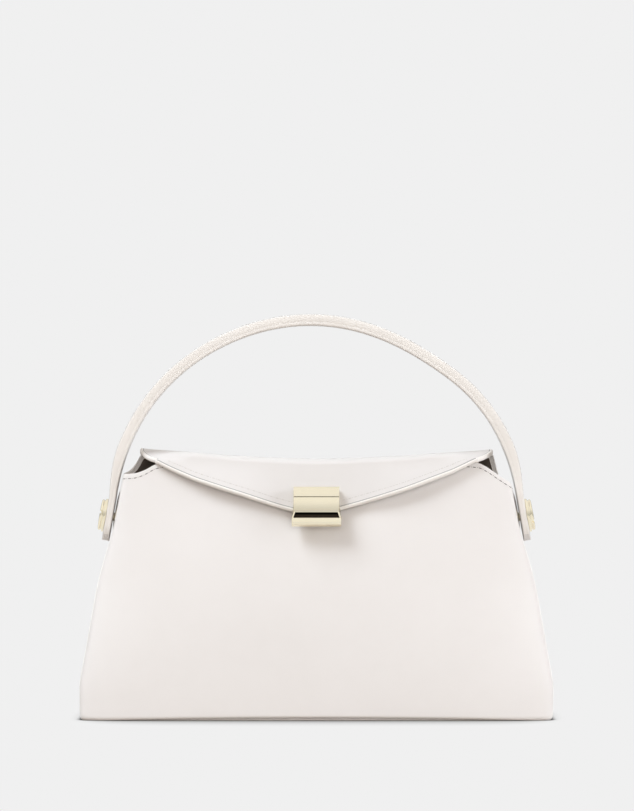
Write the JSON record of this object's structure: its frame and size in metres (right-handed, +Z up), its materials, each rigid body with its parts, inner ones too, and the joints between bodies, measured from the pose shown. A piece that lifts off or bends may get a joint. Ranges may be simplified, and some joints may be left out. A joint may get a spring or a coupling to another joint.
{
  "type": "top handle bag",
  "caption": "Trapezoid cream leather bag with a V-shaped flap, a gold lift-tab clasp over a magnet, and an arched top handle that swings on round gold studs.",
  "frame": {"origin": "middle of the bounding box at the level of the base", "axes": "+Z up, front of the bag towards -Y, +X to the right of a person who looks at the front"},
  "size_m": [0.26, 0.1, 0.223],
  "materials": {
    "cream_leather": "smooth calf leather, satin, in cream",
    "dark_lining": "dark woven lining",
    "board": "grey bag board",
    "handle_filler": "bonded leather filler with painted edge",
    "gold": "polished pale gold plate",
    "steel": "plain plated steel",
    "patch": "bonded reinforcement web"
  },
  "bodies": {
    "bag": {"front_panel": "cream_leather", "back_panel": "cream_leather", "left_gusset": "cream_leather", "right_gusset": "cream_leather", "base_panel": "cream_leather", "base_board": "board", "lining": "dark_lining", "mouth_facing": "cream_leather", "slip_pocket": "cream_leather", "catch_plate": "gold", "catch_back_plate": "steel", "catch_rivets": "steel", "left_eyelet": "gold", "right_eyelet": "gold", "left_anchor_patch": "patch", "right_anchor_patch": "patch"},
    "flap": {"flap_outer": "cream_leather", "flap_lining": "cream_leather", "clasp_base": "gold", "clasp_pin": "gold", "clasp_back_plate": "steel", "clasp_magnet": "steel", "clasp_screws": "steel"},
    "clasp_lever": {"clasp_lever": "gold"},
    "handle": {"handle_lining": "cream_leather", "handle_core": "handle_filler", "handle_outer": "cream_leather", "left_stud": "gold", "right_stud": "gold", "left_stud_nut": "steel", "right_stud_nut": "steel"}
  },
  "joints": [
    {"name": "flap_fold", "type": "hinge", "parent": "bag", "child": "flap", "pos_m": [0, 0.011, 0.1462], "axis": [-1, 0, 0], "range_deg": [0, 135]},
    {"name": "lever_lift", "type": "hinge", "parent": "flap", "child": "clasp_lever", "pos_m": [0, -0.02845, 0.12], "axis": [-1, 0, 0], "range_deg": [0, 50]},
    {"name": "handle_swing", "type": "hinge", "parent": "bag", "child": "handle", "pos_m": [0, 0, 0.111], "axis": [1, 0, 0], "range_deg": [-50, 50]}
  ]
}
